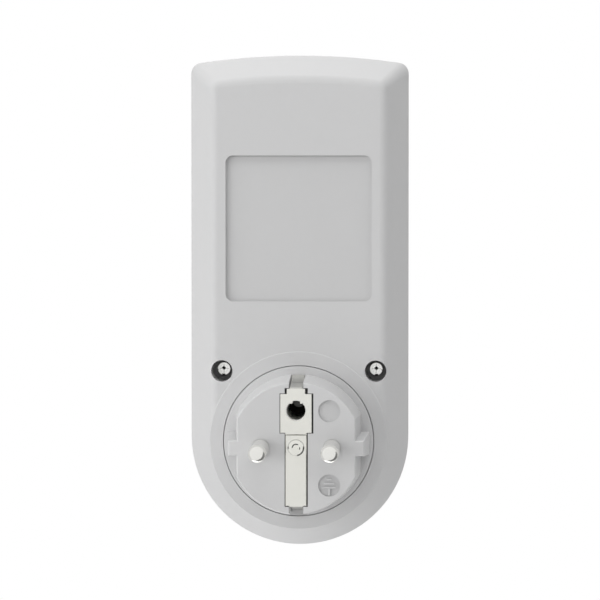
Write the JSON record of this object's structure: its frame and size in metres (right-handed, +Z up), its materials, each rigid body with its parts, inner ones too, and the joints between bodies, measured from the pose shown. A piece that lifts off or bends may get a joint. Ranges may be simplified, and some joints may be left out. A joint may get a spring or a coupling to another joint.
{
  "type": "plug in timer switch",
  "caption": "Plug-in digital timer switch: arched, bevelled housing with an earthed plug behind, and a display, keys and a shuttered earthed socket in front.",
  "frame": {"origin": "on the plug's face, midway between its two pins", "axes": "+Y points out of the plug, towards the wall; +Z up the housing; +X to the right as seen from the front (the socket side)"},
  "size_m": [0.0594, 0.0773, 0.1335],
  "materials": {
    "housing_plastic": "fine satin moulding, grey white",
    "insert_plastic": "fine satin moulding, grey white",
    "nickel": "nickel plated brass",
    "screw_steel": "zinc plated",
    "contact_brass": "bright stamped brass",
    "spring_steel": "drawn wire",
    "window": "clear moulded window",
    "display": "display glass, grey green",
    "key_plastic": "satin keys, slate grey",
    "rubber_mat": "silicone rubber",
    "board_green": "solder masked laminate",
    "black_component": "moulded component case",
    "yellow_film": "film capacitor case",
    "blue_component": "dipped component",
    "can_metal": "component can",
    "inner_plastic": "inner moulding, off white"
  },
  "bodies": {
    "housing": {"rear_shell": "housing_plastic", "front_shell": "housing_plastic", "plug_body": "insert_plastic", "live_pin": "nickel", "neutral_pin": "nickel", "earth_plate": "nickel", "earth_strap": "nickel", "earth_sleeve": "nickel", "strap_screw": "nickel", "housing_screws": "screw_steel", "lcd_window": "window", "lcd_panel": "display", "lcd_frame": "inner_plastic", "lcd_contact_strips": "rubber_mat", "keypad": "rubber_mat", "control_board": "board_green", "control_board_screws": "screw_steel", "control_chip": "black_component", "crystal": "can_metal", "backup_battery": "can_metal", "board_link": "black_component", "power_board": "board_green", "power_board_screws": "screw_steel", "relay": "black_component", "film_capacitor": "yellow_film", "electrolytic_capacitor": "black_component", "varistor": "blue_component", "diodes": "black_component", "dropper_resistor": "blue_component", "socket_cup": "housing_plastic", "socket_earth_pin": "nickel", "shutter_spring": "spring_steel", "contact_carrier": "inner_plastic", "carrier_screws": "screw_steel", "live_clip": "contact_brass", "neutral_clip": "contact_brass", "live_busbar": "contact_brass", "neutral_busbar": "contact_brass", "load_busbar": "contact_brass", "earth_bar": "contact_brass"},
    "key_minute_body": {"key_minute": "key_plastic"},
    "key_hour_body": {"key_hour": "key_plastic"},
    "key_day_body": {"key_day": "key_plastic"},
    "key_mode_body": {"key_mode": "key_plastic"},
    "key_clock_body": {"key_clock": "key_plastic"},
    "key_program_body": {"key_program": "key_plastic"},
    "reset_key_body": {"reset_key": "key_plastic"},
    "shutter_body": {"shutter": "inner_plastic"}
  },
  "joints": [
    {"name": "key_minute_press", "type": "slide", "parent": "housing", "child": "key_minute_body", "axis": [0, 1, 0], "range_m": [0, 0.0008], "stiffness_N_per_m": 400},
    {"name": "key_hour_press", "type": "slide", "parent": "housing", "child": "key_hour_body", "axis": [0, 1, 0], "range_m": [0, 0.0008], "stiffness_N_per_m": 400},
    {"name": "key_day_press", "type": "slide", "parent": "housing", "child": "key_day_body", "axis": [0, 1, 0], "range_m": [0, 0.0008], "stiffness_N_per_m": 400},
    {"name": "key_mode_press", "type": "slide", "parent": "housing", "child": "key_mode_body", "axis": [0, 1, 0], "range_m": [0, 0.0008], "stiffness_N_per_m": 400},
    {"name": "key_clock_press", "type": "slide", "parent": "housing", "child": "key_clock_body", "axis": [0, 1, 0], "range_m": [0, 0.0008], "stiffness_N_per_m": 400},
    {"name": "key_program_press", "type": "slide", "parent": "housing", "child": "key_program_body", "axis": [0, 1, 0], "range_m": [0, 0.0008], "stiffness_N_per_m": 400},
    {"name": "reset_key_press", "type": "slide", "parent": "housing", "child": "reset_key_body", "axis": [0, 1, 0], "range_m": [0, 0.0008], "stiffness_N_per_m": 400},
    {"name": "shutter_slide", "type": "slide", "parent": "housing", "child": "shutter_body", "axis": [0, 0, -1], "range_m": [0, 0.0064], "stiffness_N_per_m": 60, "springref_m": -0.001, "deforming": ["shutter_spring"]}
  ]
}
